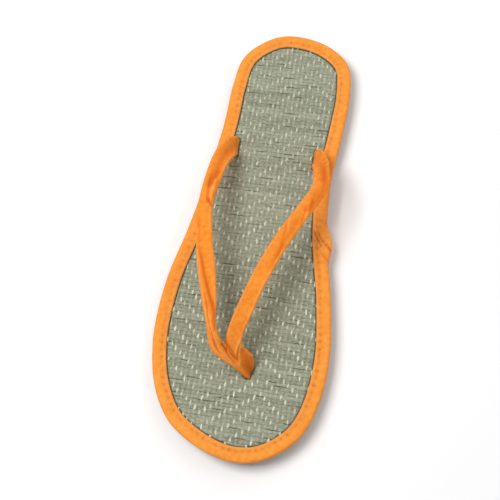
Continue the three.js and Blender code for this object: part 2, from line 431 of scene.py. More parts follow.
def curve_point(rows, where, closed=False):
    """A smooth curve through rows of numbers, where counts rows from the first."""
    count = len(rows)
    index = int(where) % count if closed else min(int(where), count - 2)
    share = where - int(where) if closed else where - index
    here = rows[index]
    after = rows[(index + 1) % count]
    before = rows[index - 1] if closed or index > 0 else 2 * here - after
    beyond = rows[(index + 2) % count] if closed or index + 2 < count else 2 * after - here
    bend = 2 * before - 5 * here + 4 * after - beyond
    twist = 3 * here - before - 3 * after + beyond
    return here + 0.5 * share * (after - before + share * (bend + share * twist))


print("the toe tip is raised", toe_lift(SOLE_LENGTH / 2), "mm")

# %% Walk the outsole's side
MERGE = 1e-6
LEVEL_SLACK = 0.1
FINE_STEPS = 8


def outsole_ring():
    """The points of the outsole's side in order from the heel, as flat vectors in millimetres."""
    shape = bmesh.new()
    shape.from_mesh(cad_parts["outsole"].data)
    bmesh.ops.remove_doubles(shape, verts=shape.verts, dist=MERGE)
    heights = {v: v.co.z / MM - toe_lift(v.co.y / MM) for v in shape.verts}
    level = {v for v, height in heights.items() if abs(height - OUTSOLE_SIDE_TOP) < LEVEL_SLACK}
    walk = [min(level, key=lambda v: v.co.y)]
    level.remove(walk[0])
    while level:
        linked = [edge.other_vert(walk[-1]) for edge in walk[-1].link_edges]
        step = max((v for v in linked if v in level), key=lambda v: v.co.x if len(walk) == 1 else 0)
        walk.append(step)
        level.remove(step)
    points = [Vector((v.co.x, v.co.y, 0)) / MM for v in walk]
    shape.free()
    return points


def inward_normals(points):
    """At each point of a loop that runs counter-clockwise, the flat direction to its inside."""
    ahead = points[1:] + points[:1]
    behind = points[-1:] + points[:-1]
    return [Vector((b.y - a.y, a.x - b.x, 0)).normalized() for a, b in zip(ahead, behind)]


def even_loop(points, count):
    """The same closed curve, with its points evenly spaced along it."""
    total = FINE_STEPS * count
    fine = [curve_point(points, k * len(points) / total, True) for k in range(total)]
    run = [0.0]
    for here, after in zip(fine, fine[1:] + fine[:1]):
        run.append(run[-1] + (after - here).length)
    spaced = []
    index = 0
    for step in range(count):
        while run[index + 1] < run[-1] * step / count:
            index += 1
        share = (run[-1] * step / count - run[index]) / (run[index + 1] - run[index])
        spaced.append(fine[index].lerp(fine[(index + 1) % len(fine)], share))
    return spaced


STITCHES = 146
SAMPLES_PER_STITCH = 8
ring = outsole_ring()
widened = [point - normal * OUTSOLE_INSET for point, normal in zip(ring, inward_normals(ring))]
outline = even_loop(widened, STITCHES * SAMPLES_PER_STITCH)
inward = inward_normals(outline)
edge_tree = KDTree(len(outline))
for index, point in enumerate(outline):
    edge_tree.insert(point, index)
edge_tree.balance()
perimeter = sum((a - b).length for a, b in zip(outline, outline[1:] + outline[:1]))
print(len(ring), "ring points, perimeter", round(perimeter), "mm, normal at the heel", inward[0])

# %% [markdown]
# ## Rolling a grid up
#
# Straws, tape and bands are all long things with a closed section. Each starts as a flat grid with UVs,
# whose points are put on rings one after another. The edges that then meet are merged, so the tube is
# closed while its UV map keeps a clean seam. Points also carry the numbers that the shaders read.

# %% Grid and piece helpers
def new_shape(*names):
    """An empty shape whose points carry numbers with these names."""
    shape = bmesh.new()
    shape.loops.layers.uv.verify()
    for name in names:
        shape.verts.layers.float.new(name)
    return shape


def rolled_grid(shape, rows, columns, put):
    """Adds a grid and merges its edges that meet; put(row, column) gives a point's place and numbers."""
    made = bmesh.ops.create_grid(shape, x_segments=columns, y_segments=rows, size=1.0, calc_uvs=True)
    for vertex in made["verts"]:
        row = round((vertex.co.y + 1) / 2 * rows)
        column = round((vertex.co.x + 1) / 2 * columns)
        place, numbers = put(row, column)
        vertex.co = place * MM
        for name, value in numbers.items():
            vertex[shape.verts.layers.float[name]] = value
    bmesh.ops.remove_doubles(shape, verts=made["verts"], dist=MERGE)


def cap_ends(shape):
    """Closes the open ends of every tube in a shape."""
    open_edges = [edge for edge in shape.edges if edge.is_boundary]
    bmesh.ops.holes_fill(shape, edges=open_edges, sides=0)


def add_piece(name, shape, finish):
    """Makes an object of a finished shape, smooth, painted and riding on the shoe."""
    shape.normal_update()
    bmesh.ops.recalc_face_normals(shape, faces=shape.faces)
    for face in shape.faces:
        face.smooth = True
    mesh = bpy.data.meshes.new(name)
    shape.to_mesh(mesh)
    shape.free()
    mesh.materials.append(finish)
    piece = bpy.data.objects.new(name, mesh)
    bpy.context.collection.objects.link(piece)
    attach(piece, "root")
    triangles = sum(len(face.vertices) - 2 for face in mesh.polygons)
    print(name, triangles, "triangles")
    return piece


def copied_beads(shape, count):
    """Fills an empty shape with copies of one coarse sphere and gives back the points of each."""
    one = bmesh.new()
    bmesh.ops.create_uvsphere(one, u_segments=8, v_segments=6, radius=1.0)
    mesh = bpy.data.meshes.new("bead")
    one.to_mesh(mesh)
    one.free()
    for _ in range(count):
        shape.from_mesh(mesh)
    size = len(mesh.vertices)
    bpy.data.meshes.remove(mesh)
    shape.verts.layers.float.new("tone")
    shape.verts.ensure_lookup_table()
    return [shape.verts[k * size:(k + 1) * size] for k in range(count)]


print("helpers ready")


# %% [markdown]
# ## The woven mat
#
# Straw blades lie across the sole, and cotton threads run along it, each going over one blade in four.
# From one thread to the next the crossing moves by one blade, and after eleven threads it turns back,
# so the pale floats draw a zigzag. The blades are modelled one by one, because their uneven widths and
# the short dark slits between them are what makes straw look like straw. The mat was cut a little
# askew, so the weave has its own directions, across and along, turned by a few degrees.

# %% Weave chart
STRAW_PITCH = 2.25
THREAD_PITCH = 2.8
ZIGZAG_THREADS = 11
BLADES_PER_FLOAT = 4
WEAVE_TURN = math.radians(2.6)
WEAVE_COSINE = math.cos(WEAVE_TURN)
WEAVE_SINE = math.sin(WEAVE_TURN)
PEAK_ACROSS = 12.3
PEAK_ALONG = 98.3


def to_weave(point):
    """From the shoe's flat directions to across and along the weave."""
    across = point.x * WEAVE_COSINE - point.y * WEAVE_SINE
    along = point.x * WEAVE_SINE + point.y * WEAVE_COSINE
    return Vector((across, along, 0))


def from_weave(across, along):
    """From across and along the weave back to the shoe's flat directions."""
    x = across * WEAVE_COSINE + along * WEAVE_SINE
    y = along * WEAVE_COSINE - across * WEAVE_SINE
    return Vector((x, y, 0))


def zigzag(thread):
    """How many blades this thread's floats lie behind those of the thread at the peak."""
    return abs((thread + ZIGZAG_THREADS) % (2 * ZIGZAG_THREADS) - ZIGZAG_THREADS)


def has_float(blade, thread):
    """Whether this thread lies on top of this blade."""
    return (blade + zigzag(thread)) % BLADES_PER_FLOAT == 0


def thread_across(thread):
    """Where a thread runs, measured across the weave."""
    return PEAK_ACROSS + thread * THREAD_PITCH


for blade in range(BLADES_PER_FLOAT):
    chart_row = [has_float(blade, thread) for thread in range(-ZIGZAG_THREADS, ZIGZAG_THREADS + 1)]
    print("".join("|" if on_top else "-" for on_top in chart_row))

# %% Where the mat is pressed down
MAT_INSET = 6.6
HEM_INSET = 8.0
Slit = namedtuple("Slit", "x along yaw half_length half_width")
SLITS = (
    Slit(18.5, 77.5, 180, 6.5, 1.8),
    Slit(-29.0, 82.0, 0, 6.5, 1.8),
    Slit(-6.6, 210.7, 12, 4.4, 2.5),
)


def step_up(value, low, high):
    """0 below low, 1 above high and smooth between."""
    share = min(1.0, max(0.0, (value - low) / (high - low)))
    return share * share * (3 - 2 * share)


def slit_gap(point):
    """The distance from a point of the mat to the nearest slit's lip, below 0 inside it."""
    gaps = []
    for slit in SLITS:
        turn = math.radians(slit.yaw)
        dx = point.x - slit.x
        dy = point.y - (slit.along - SOLE_LENGTH / 2)
        long = abs(dx * math.sin(turn) + dy * math.cos(turn)) - (slit.half_length - slit.half_width)
        wide = dx * math.cos(turn) - dy * math.sin(turn)
        gaps.append(math.hypot(max(0.0, long), wide) - slit.half_width)
    return min(gaps)


def edge_gap(point):
    """How far a point lies inside the sole's outline."""
    return edge_tree.find((point.x, point.y, 0))[2]


toe_post = Vector((SLITS[-1].x, SLITS[-1].along - SOLE_LENGTH / 2, 0))
print("slit gap at the toe post", round(slit_gap(toe_post), 1), "mm")

# %% A list of blades
Dash = namedtuple("Dash", "middle reach side")
Blade = namedtuple("Blade", "index along half_width tone lift dashes")
BLADE_WIDTHS = (0.85, 1.15)
BLADE_LIFT = 0.06
SHARED_WANDER = 0.3
OWN_WANDER = 0.09
DASH_SPREAD = 46
DASH_REACHES = (1.5, 5)
DASH_COUNTS = (0, 1, 1, 2, 3)


def new_dash():
    """A stretch where a blade has drawn back from its neighbour and leaves a dark slit."""
    middle = chance.uniform(-DASH_SPREAD, DASH_SPREAD)
    reach = chance.uniform(*DASH_REACHES)
    return Dash(middle, reach, chance.choice((-1, 1)))


def blade_list():
    """Every blade, counted from the one at the zigzag's peak to the toe and then back to the heel."""
    blades = []
    for step in (1, -1):
        along = PEAK_ALONG - STRAW_PITCH / 2
        index = 0 if step > 0 else -1
        while abs(along) < SOLE_LENGTH / 2:
            width = STRAW_PITCH * chance.uniform(*BLADE_WIDTHS)
            tone = chance.betavariate(2.2, 2.2)
            lift = chance.uniform(-BLADE_LIFT, BLADE_LIFT)
            dashes = [new_dash() for _ in range(chance.choice(DASH_COUNTS))]
            blades.append(Blade(index, along + step * width / 2, width / 2, tone, lift, dashes))
            along += step * width
            index += step
    return blades


def blade_middle(blade, across):
    """A blade's middle line wanders a little, together with its neighbours."""
    shared = SHARED_WANDER * drift(across * 0.045, blade.along * 0.06, 3.0)
    own = OWN_WANDER * drift(across * 0.09, blade.index * 7.3, 9.0)
    return blade.along + shared + own


blades = blade_list()
print(len(blades), "blades,", sum(len(blade.dashes) for blade in blades), "dark slits")

# %% [markdown]
# A blade's section is a flat loop with soft shoulders, so that neighbours touch and leave only a shallow
# line. It sinks under its floats, rises a little over the threads that pass below, is pressed down by
# the hem and bends into the strap's slits. In a dark slit the shoulder draws back and drops.

# %% Blades of straw
STRAW_RELIEF = 0.42
BLADE_SECTION = (
    (1, 0.62), (0.86, 0.86), (0.48, 0.98), (0, 1), (-0.48, 0.98), (-0.86, 0.86), (-1, 0.62),
    (-1, -0.35), (1, -0.35),
)
UNDER_FLOAT = -0.12
OVER_THREAD = 0.05
CROSSING_REACH = 0.8
SLIT_WIDTH = 0.3
SLIT_DROP = 0.5
HEM_LEVEL = 0.04
PRESS_START = 0.2
PRESS_END = 1.6
HEM_STEPS = (0.0, 1.2, 1.8, 2.4, 3.0, 3.7)
END_CLEAR = 0.3
LIP_DROP = 0.6
LIP_INSIDE = -0.2
LIP_OUTSIDE = 1.0
# The crossing numbers set the painted light and shade over the threads below the blades.
TONE_DRIFT = 0.35
CROSSING_SHADING = 0.35
CROSSING_SHADING_DRIFT = 0.6


def blade_height(blade, across, along):
    """The crest's height above the mat's base."""
    place = from_weave(across, along)
    thread = round((across - PEAK_ACROSS) / THREAD_PITCH)
    crossing = UNDER_FLOAT if has_float(blade.index, thread) else OVER_THREAD
    near = math.exp(-(((across - thread_across(thread)) / CROSSING_REACH) ** 2))
    open_height = STRAW_RELIEF + blade.lift + crossing * near
    pressed = step_up(edge_gap(place), HEM_INSET + PRESS_START, HEM_INSET + PRESS_END)
    lip = 1 - step_up(slit_gap(place), LIP_INSIDE, LIP_OUTSIDE)
    return HEM_LEVEL + (open_height - HEM_LEVEL) * pressed - LIP_DROP * lip


def drawn_back(blade, across, side):
    """How far the blade has drawn back on this side, from 0 to 1."""
    near = [dash for dash in blade.dashes if dash.side * side > 0]
    return max((math.exp(-(((across - dash.middle) / dash.reach) ** 4)) for dash in near), default=0.0)


def blade_steps(low, high):
    """Places along a blade: two to a thread, and closer together where the hem presses on it."""
    pitch = THREAD_PITCH / 2
    first = math.ceil((low - PEAK_ACROSS) / pitch + END_CLEAR)
    last = math.floor((high - PEAK_ACROSS) / pitch - END_CLEAR)
    regular = [PEAK_ACROSS + k * pitch for k in range(first, last + 1)]
    near_hem = [low + step for step in HEM_STEPS] + [high - step for step in HEM_STEPS]
    return sorted(regular + near_hem)


def add_blade(shape, blade, low, high):
    """Adds one blade of straw that lies from low to high across the weave."""
    steps = blade_steps(low, high)

    def put(row, column):
        across = steps[row]
        side, level = BLADE_SECTION[column % len(BLADE_SECTION)]
        middle = blade_middle(blade, across)
        opened = drawn_back(blade, across, side)
        if level > 0:
            level -= SLIT_DROP * opened * abs(side) ** 3
        along = middle + side * blade.half_width * (1 - SLIT_WIDTH * opened)
        rise = blade_height(blade, across, along) * level
        place = from_weave(across, along)
        place.z = MAT_TOP + rise + toe_lift(place.y)
        along_blade = TONE_DRIFT * drift(across * 0.05, blade.index * 3.1, 1.0)
        threads = (across - PEAK_ACROSS) / THREAD_PITCH
        # Painted light and shade: the tone is raised over each thread that passes below and lowered
        # between threads.
        seen = CROSSING_SHADING + CROSSING_SHADING_DRIFT * drift(round(threads) * 5.1, blade.index * 2.7, 4.0)
        tone = blade.tone + along_blade + seen * math.cos(2 * math.pi * threads)
        # crest, the blade's height share, is the mask of the painted shade in the gaps, the dark slits and
        # under the hem.
        return place, {"tone": tone, "crest": max(0.0, rise / STRAW_RELIEF)}

    rolled_grid(shape, len(steps) - 1, len(BLADE_SECTION), put)


mat_edge = [to_weave(point + normal * MAT_INSET) for point, normal in zip(outline, inward)]


def blade_span(blade):
    """Where a blade's longer side starts and ends under the binding, or None past the mat's ends."""
    crossed = []
    for along in (blade.along - blade.half_width, blade.along, blade.along + blade.half_width):
        for here, after in zip(mat_edge, mat_edge[1:] + mat_edge[:1]):
            if (here.y - along) * (after.y - along) < 0:
                crossed.append(here.lerp(after, (along - here.y) / (after.y - here.y)).x)
    return (min(crossed), max(crossed)) if len(crossed) > 1 else None


SHORTEST_BLADE = 3 * THREAD_PITCH
mat_shape = new_shape("tone", "crest")
spans = {}
for blade in blades:
    span = blade_span(blade)
    if span and span[1] - span[0] > SHORTEST_BLADE:
        spans[blade.index] = span
        add_blade(mat_shape, blade, *span)
cap_ends(mat_shape)
straw_mat = add_piece("straw_mat", mat_shape, straw_finish)
print(len(spans), "blades of straw")

# %% [markdown]
# A float is a drop: the thread comes up between two blades as a thin tail, fattens over its own blade and
# dives with a blunt end on the toe's side. Floats are copies of one coarse sphere whose points are moved.
# They are paler at the toe, where the mat is less worn.

# %% Floats of cotton
FLOAT_LENGTH = 4.6
FLOAT_WIDTH = 1.4
FLOAT_THICKNESS = 0.68
FLOAT_BACK = -0.9
FLOAT_ARCH = 0.2
FLOAT_CREST = 0.35
FLOAT_MISSING = 0.05
FLOAT_THREADS = range(-24, 14)
FLOAT_UNDER_HEM = 0.4
FLOAT_SLIT_GAP = 0.6
FLOAT_SHIFT = 0.3
FLOAT_SLIDE = 0.35
FLOAT_LEAN = 0.35
FLOAT_LENGTHS = (0.78, 1.16)
FLOAT_WIDTHS = (0.75, 1.15)
TAIL_WIDTH = 0.28
TAIL_TONE = 0.15
WORN_TONE = 0.58
WORN_UP_TO = -70
NEW_FROM = 60


def float_list():
    """Every crossing where a thread lies on top, clear of the hem and of the slits."""
    found = []
    for blade in blades:
        low, high = spans.get(blade.index, (0, 0))
        for thread in FLOAT_THREADS:
            place = from_weave(thread_across(thread), blade.along)
            woven = has_float(blade.index, thread) and low < thread_across(thread) < high
            clear = edge_gap(place) > HEM_INSET - FLOAT_UNDER_HEM and slit_gap(place) > FLOAT_SLIT_GAP
            if woven and clear and chance.random() > FLOAT_MISSING:
                found.append((blade, thread))
    return found


def shape_float(points, tone_layer, blade, thread):
    """Moves the points of one bead into a drop of thread on its blade."""
    across = thread_across(thread) + chance.uniform(-FLOAT_SHIFT, FLOAT_SHIFT)
    middle = blade_middle(blade, across)
    height = MAT_TOP + blade_height(blade, across, middle)
    middle += FLOAT_BACK + chance.uniform(-FLOAT_SLIDE, FLOAT_SLIDE)
    length = FLOAT_LENGTH * chance.uniform(*FLOAT_LENGTHS)
    width = FLOAT_WIDTH * chance.uniform(*FLOAT_WIDTHS)
    lean = chance.uniform(-FLOAT_LEAN, FLOAT_LEAN)
    tone = chance.betavariate(1.8, 1.3)
    for vertex in points:
        side, rise, share = vertex.co
        fat = TAIL_WIDTH + (1 - TAIL_WIDTH) * step_up(share, -0.9, 0.5)
        place = from_weave(across + side * width / 2 * fat + lean * share, middle + share * length / 2)
        arch = FLOAT_ARCH * (share - FLOAT_CREST) ** 2
        place.z = height + rise * FLOAT_THICKNESS / 2 * fat - arch + toe_lift(place.y)
        worn = WORN_TONE + (1 - WORN_TONE) * step_up(place.y, WORN_UP_TO, NEW_FROM)
        paler = TAIL_TONE + (1 - TAIL_TONE) * step_up(share, -0.9, 0.4)
        vertex[tone_layer] = tone * worn * paler
        vertex.co = place * MM


floats = float_list()
thread_shape = bmesh.new()
for points, crossing in zip(copied_beads(thread_shape, len(floats)), floats):
    shape_float(points, thread_shape.verts.layers.float["tone"], *crossing)
warp_threads = add_piece("warp_threads", thread_shape, cotton_finish)
print(len(floats), "floats")

# %% [markdown]
# ## The binding
#
# A strip of canvas is folded round the edge of the mat and sewn down with one row of stitches. Its
# section is a C with soft corners. Going round the sole, the section is pulled down in a shallow groove
# along the stitches and dimpled at every needle hole, and the hem wanders a little. At the inner side of
# the waist the ends of the strip lap over each other, which makes a lump with slanting folds. The hem is
# painted paler, the ridges of the folds get a painted highlight, and holes and troughs get painted shade.

# %% Section of the tape
TapePoint = namedtuple("TapePoint", "inset z soft groove")
TAPE_SECTION = (
    TapePoint(7.0, 5.85, 0, 0), TapePoint(4.0, 5.8, 0, 0), TapePoint(1.6, 5.8, 0, 0),
    TapePoint(0.7, 5.88, 0, 0), TapePoint(0.22, 6.15, 0, 0), TapePoint(0.02, 6.7, 0.3, 0),
    TapePoint(-0.08, 7.5, 0.6, 0), TapePoint(-0.1, 8.4, 0.8, 0), TapePoint(-0.04, 9.2, 1, 0),
    TapePoint(0.12, 9.75, 1, 0), TapePoint(0.42, 10.16, 1, 0), TapePoint(0.9, 10.42, 1, 0),
    TapePoint(1.6, 10.6, 1, 0), TapePoint(2.5, 10.7, 1, 0), TapePoint(3.4, 10.73, 1, 0.08),
    TapePoint(4.2, 10.7, 1, 0.25), TapePoint(4.8, 10.65, 1, 0.6), TapePoint(5.25, 10.6, 1, 0.9),
    TapePoint(5.6, 10.58, 1, 1), TapePoint(5.95, 10.58, 1, 0.9), TapePoint(6.4, 10.58, 1, 0.55),
    TapePoint(6.9, 10.54, 1, 0.2), TapePoint(7.35, 10.42, 1, 0.05), TapePoint(7.7, 10.22, 1, 0),
    TapePoint(7.92, 9.96, 1, 0), TapePoint(8.0, 9.7, 0.6, 0), TapePoint(7.9, 9.5, 0, 0),
    TapePoint(6.0, 9.5, 0, 0), TapePoint(0.9, 9.5, 0, 0), TapePoint(0.9, 6.7, 0, 0),
    TapePoint(6.9, 6.7, 0, 0),
)
STITCH_INSET = 5.6
print(len(TAPE_SECTION), "points round the tape")

# %% Tape round the sole
GROOVE_DEPTH = 0.14
HOLE_DEPTH = 0.4
HOLE_SHARPNESS = 6
HOLE_SHADE_TINT = 0.8
PULL_MEAN = 0.45
PULL_DRIFT = 0.9
HEM_WANDER = 0.18
HEM_RIPPLE = 0.08
TOP_WANDER = 0.1
TOP_RIPPLE = 0.07
HEM_PALENESS = 0.35
HEM_PALE_START = 6.4
HEM_PALE_FULL = 7.3
LAP_Y = 3.4
LAP_HALF = 14.0
LAP_OUT = 2.9
LAP_OUT_WIDTH = 3
LAP_UP = 0.5
LAP_SHADE_TINT = 1.9
LAP_HIGHLIGHT = 1.1
FOLD_PIVOT = 4
FOLD_FADE_OUT = 0.9
FOLD_FADE_IN = 0.5
Fold = namedtuple("Fold", "y slant width height near far")
LAP_FOLDS = (
    Fold(-2.6, 2.2, 1.3, 0.3, 0.3, 4.0),
    Fold(-0.9, 2.2, 1.1, -0.6, 0.0, 4.6),
    Fold(1.2, 2.2, 1.1, 0.55, 1.6, 6.6),
    Fold(3.3, 2.2, 1.0, -0.65, 3.2, 7.0),
    Fold(5.2, 2.2, 1.2, 0.45, 3.0, 6.8),
    Fold(8.0, 1.6, 1.3, -0.3, 0.2, 3.2),
)


def lap_swell(point):
    """1 at the middle of the lap and 0 from its ends on."""
    reach = abs(point.y - LAP_Y) / LAP_HALF
    return (1 + math.cos(math.pi * reach)) / 2 if point.x < 0 and reach < 1 else 0.0


def lap_relief(point, inset):
    """The slanting folds where the ends of the strip lap."""
    total = 0.0
    for fold in LAP_FOLDS:
        offset = point.y - fold.y - (FOLD_PIVOT - inset) * fold.slant
        within = step_up(inset, fold.near - FOLD_FADE_OUT, fold.near + FOLD_FADE_IN)
        within *= 1 - step_up(inset, fold.far - FOLD_FADE_IN, fold.far + FOLD_FADE_OUT)
        total += within * fold.height * math.exp(-((offset / fold.width) ** 2))
    return total if lap_swell(point) > 0 else 0.0


def tape_point(row, column):
    """One point of the tape round the sole, with the numbers that its cloth reads."""
    index = row % len(outline)
    part = TAPE_SECTION[column % len(TAPE_SECTION)]
    point = outline[index]
    run = row / SAMPLES_PER_STITCH
    pull = max(0.0, PULL_MEAN + PULL_DRIFT * drift(round(run) % STITCHES * 3.7, 2.0, 6.0))
    hole = pull * part.groove * math.cos(math.pi * run) ** HOLE_SHARPNESS
    wander = drift(point.x * 0.07, point.y * 0.07, part.inset * 0.25)
    ripple = drift(point.x * 0.3, point.y * 0.3, part.inset * 0.3 + 20)
    z = part.z + part.soft * (TOP_WANDER * wander + TOP_RIPPLE * ripple)
    z = z - part.groove * GROOVE_DEPTH - HOLE_DEPTH * hole
    inset = part.inset + part.soft * (HEM_WANDER * wander + HEM_RIPPLE * ripple)
    swell = lap_swell(point)
    outer = max(0.0, 1 - part.inset / LAP_OUT_WIDTH) if part.soft else 0.0
    inset -= LAP_OUT * swell * outer
    lap = lap_relief(point, part.inset) if part.soft == 1 else 0.0
    if part.soft == 1:
        z += LAP_UP * swell + lap
    placed = point + inward[index] * inset
    placed.z = z + toe_lift(placed.y)
    # Painted shade in the needle holes and the troughs of the lap folds; painted highlight on the ridges
    # of the lap folds; the hem painted paler.
    fold = min(1.0, HOLE_SHADE_TINT * hole + max(0.0, -LAP_SHADE_TINT * lap))
    pale_hem = HEM_PALENESS * step_up(part.inset, HEM_PALE_START, HEM_PALE_FULL) * part.soft
    return placed, {"fold": fold, "paleness_and_highlight": pale_hem + max(0.0, LAP_HIGHLIGHT * lap)}


tape_shape = new_shape("fold", "paleness_and_highlight")
rolled_grid(tape_shape, len(outline), len(TAPE_SECTION), tape_point)
BINDING_PALE = paint(253, 166, 70)
BINDING_DEEP = paint(234, 136, 44)
TAPE_THREAD = 0.55
TAPE_GIRTH = 34.0
binding_cloth = canvas_finish(
    "binding canvas",
    BINDING_PALE,
    BINDING_DEEP,
    round(TAPE_GIRTH / TAPE_THREAD),
    round(perimeter / TAPE_THREAD),
)
edge_tape = add_piece("edge_tape", tape_shape, binding_cloth)
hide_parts("binding")

# %% [markdown]
# Each stitch is a short length of thread that lies in the groove and dives into the cloth at both ends.
# Modelled as a small bead, it catches the light as the real row of stitches does.

# %% Stitches round the edge
STITCH_SIZE = Vector((3.1, 0.55, 0.42))
STITCH_LIFT = -0.12
STITCH_DIVE = 0.2


def shape_stitch(points, stitch):
    """Moves the points of one bead into a stitch that lies in the groove."""
    row = stitch * SAMPLES_PER_STITCH + SAMPLES_PER_STITCH // 2
    centre = outline[row] + inward[row] * STITCH_INSET
    raised_here = LAP_UP * lap_swell(outline[row]) + lap_relief(outline[row], STITCH_INSET)
    centre.z = BINDING_TOP + STITCH_LIFT + toe_lift(centre.y) + raised_here
    forward = Vector((-inward[row].y, inward[row].x, 0))
    for vertex in points:
        side, rise, share = vertex.co
        spot = centre + forward * share * STITCH_SIZE.x / 2 + inward[row] * side * STITCH_SIZE.y / 2
        spot.z += rise * STITCH_SIZE.z / 2 - STITCH_DIVE * share * share
        vertex.co = spot * MM


stitch_shape = bmesh.new()
for stitch, points in enumerate(copied_beads(stitch_shape, STITCHES)):
    shape_stitch(points, stitch)
edge_stitches = add_piece("edge_stitches", stitch_shape, sewing_thread)

# %% [markdown]
# ## The strap
#
# Each band of the strap is canvas folded over a soft core, flat with round edges. It comes up out of its
# slit on edge, turns flat over the instep, and turns on edge again where both bands meet and run down
# between the toes. Rows give a band's middle line, the direction its width points in, its tilt and its
# width.

# %% Rows of the two bands
BandRow = namedtuple("BandRow", "x along rise yaw tilt width")
OUTER_BAND = (
    BandRow(18.5, 77.5, 0.6, 180, 0, 12),
    BandRow(20, 81, 7, 165, 0, 11.6),
    BandRow(23.3, 92, 14.5, 130, 0, 10.4),
    BandRow(25.6, 108, 20, 100, 0, 9.4),
    BandRow(26.6, 126, 23.5, 88, 0, 8.3),
    BandRow(24.1, 146, 24.5, 80, 0, 9.4),
    BandRow(20.2, 164, 23.5, 76, -12, 9.9),
    BandRow(16.5, 181, 21.5, 70, -38, 9.7),
    BandRow(14, 193.5, 18.8, 62, -58, 8.8),
    BandRow(9.8, 202.4, 14.8, 48, -34, 8.4),
    BandRow(0.4, 206.8, 8.8, 38, -4, 8.2),
    BandRow(-5.1, 209.8, 2.6, 20, 0, 8),
    BandRow(-5.7, 210.4, 0.4, 12, 0, 8),
)
INNER_BAND = (
    BandRow(-29, 82, 0.6, 0, 0, 12),
    BandRow(-31, 85, 7, 15, 0, 11.6),
    BandRow(-34, 94, 14.5, 45, 0, 9.8),
    BandRow(-34.8, 108, 20, 85, 0, 9),
    BandRow(-28.9, 122, 23.5, 112, 0, 8.8),
    BandRow(-18.6, 142, 25, 116, 0, 9.2),
    BandRow(-10, 162, 24.5, 112, 4, 9.2),
    BandRow(-3.4, 181, 22, 105, 10, 9.2),
    BandRow(1.2, 196, 18, 90, 15, 8.8),
    BandRow(0.4, 202.6, 13.6, 68, 6, 9),
    BandRow(-4.2, 206.6, 8.8, 48, -6, 10.2),
    BandRow(-6.9, 210.2, 2.6, 22, 0, 8.8),
    BandRow(-7.5, 211, 0.4, 12, 0, 8),
)
BAND_BURIED = 3.1
BAND_THICKNESS = 2.6
print(len(OUTER_BAND), "and", len(INNER_BAND), "rows")

# %% Middle line of a band
BAND_STEPS = 260
FINE_BAND_STEPS = 4 * BAND_STEPS
NUDGE = 0.01
Station = namedtuple("Station", "middle across up half_width run")


def band_stations(rows):
    """Evenly spaced stations along a band; run is the distance from where it leaves the mat."""
    first = rows[0]._replace(rise=-BAND_BURIED)
    last = rows[-1]._replace(rise=-BAND_BURIED)
    table = [Vector(row) for row in (first, *rows, last)]
    fine = [k * (len(table) - 1) / FINE_BAND_STEPS for k in range(FINE_BAND_STEPS + 1)]
    spots = [curve_point(table, where).to_3d() for where in fine]
    run = [0.0]
    for here, after in zip(spots, spots[1:]):
        run.append(run[-1] + (after - here).length)
    stations = []
    index = 0
    for step in range(BAND_STEPS + 1):
        goal = run[-1] * step / BAND_STEPS
        while index < len(fine) - 2 and run[index + 1] < goal:
            index += 1
        share = (goal - run[index]) / (run[index + 1] - run[index])
        where = fine[index] + share * (fine[index + 1] - fine[index])
        row = BandRow(*curve_point(table, where))
        behind = curve_point(table, max(0.0, where - NUDGE)).to_3d()
        ahead = curve_point(table, min(fine[-1], where + NUDGE)).to_3d()
        forward = (ahead - behind).normalized()
        yaw = math.radians(row.yaw)
        tilt = math.radians(row.tilt)
        flat = math.cos(tilt)
        across = Vector((flat * math.sin(yaw), flat * math.cos(yaw), math.sin(tilt)))
        across = (across - forward * across.dot(forward)).normalized()
        middle = Vector((row.x, row.along - SOLE_LENGTH / 2, MAT_TOP + row.rise))
        leave = BAND_BURIED + rows[0].rise
        stations.append(Station(middle, across, across.cross(forward), row.width / 2, goal - leave))
    return stations


outer_stations = band_stations(OUTER_BAND)
inner_stations = band_stations(INNER_BAND)
print("bands run", round(outer_stations[-1].run), "and", round(inner_stations[-1].run), "mm")

# %% [markdown]
# Cloth that is folded and pulled into a V is never smooth. The main creases are listed: each is
# a line through a few points of the band, given by the distance run from the slit and the distance to
# the side of the middle line. It is a soft trough, or a ridge where its depth is above zero. Troughs get
# painted shade in their colour, and ridges and edges a painted highlight, so both are kept as numbers too.

